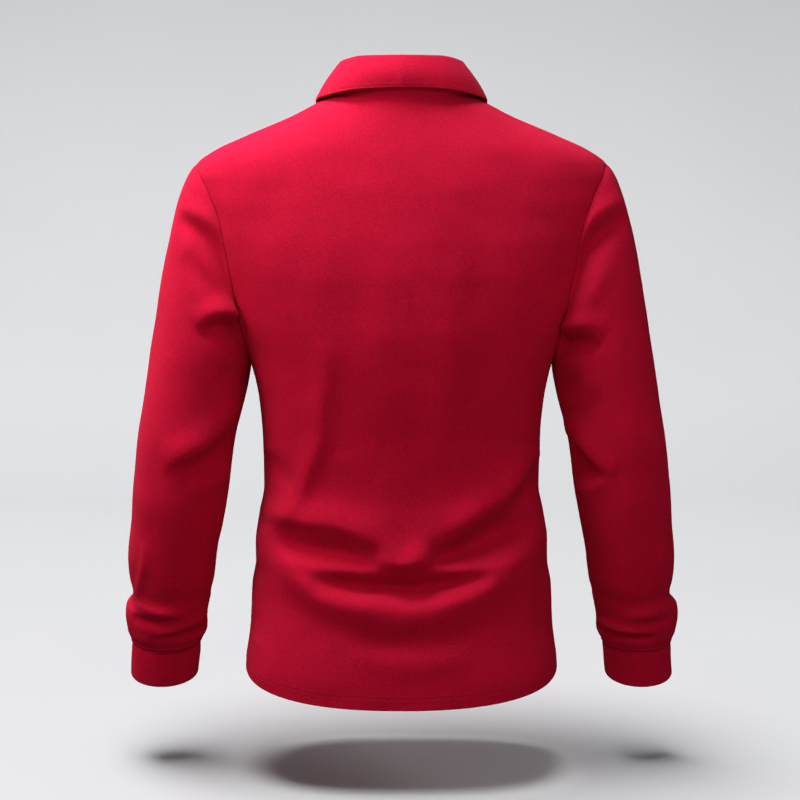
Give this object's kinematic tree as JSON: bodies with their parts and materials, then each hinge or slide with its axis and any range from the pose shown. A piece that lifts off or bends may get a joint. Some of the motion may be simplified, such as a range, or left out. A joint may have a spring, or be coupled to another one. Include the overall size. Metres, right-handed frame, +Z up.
{
  "type": "long-sleeve polo shirt",
  "caption": "Long-sleeve knitted polo shirt, filled out as worn with nobody in it: folded collar, buttoned placket, set-in sleeves with ribbed cuffs, open neck, hem and cuffs.",
  "frame": {"origin": "where a neck holds the shirt up: the middle of the neck opening, level with the top of the shoulder seams", "axes": "+Z up, the front faces -Y, the wearer's left is +X"},
  "size_m": [0.634, 0.2355, 0.7132],
  "materials": {
    "knit": "matte red pique knit with a soft sheen",
    "rib": "matte red flat rib knit",
    "button_plastic": "glossy dyed-to-match plastic"
  },
  "bodies": {
    "root": {"back": "knit", "front": "knit", "sleeve_left": "knit", "sleeve_right": "knit", "cuff_left": "rib", "cuff_right": "rib", "collar_stand": "rib", "collar_leaf": "rib", "placket_over": "knit", "placket_under": "knit", "button_top": "button_plastic", "button_middle": "button_plastic", "button_bottom": "button_plastic"}
  },
  "joints": []
}
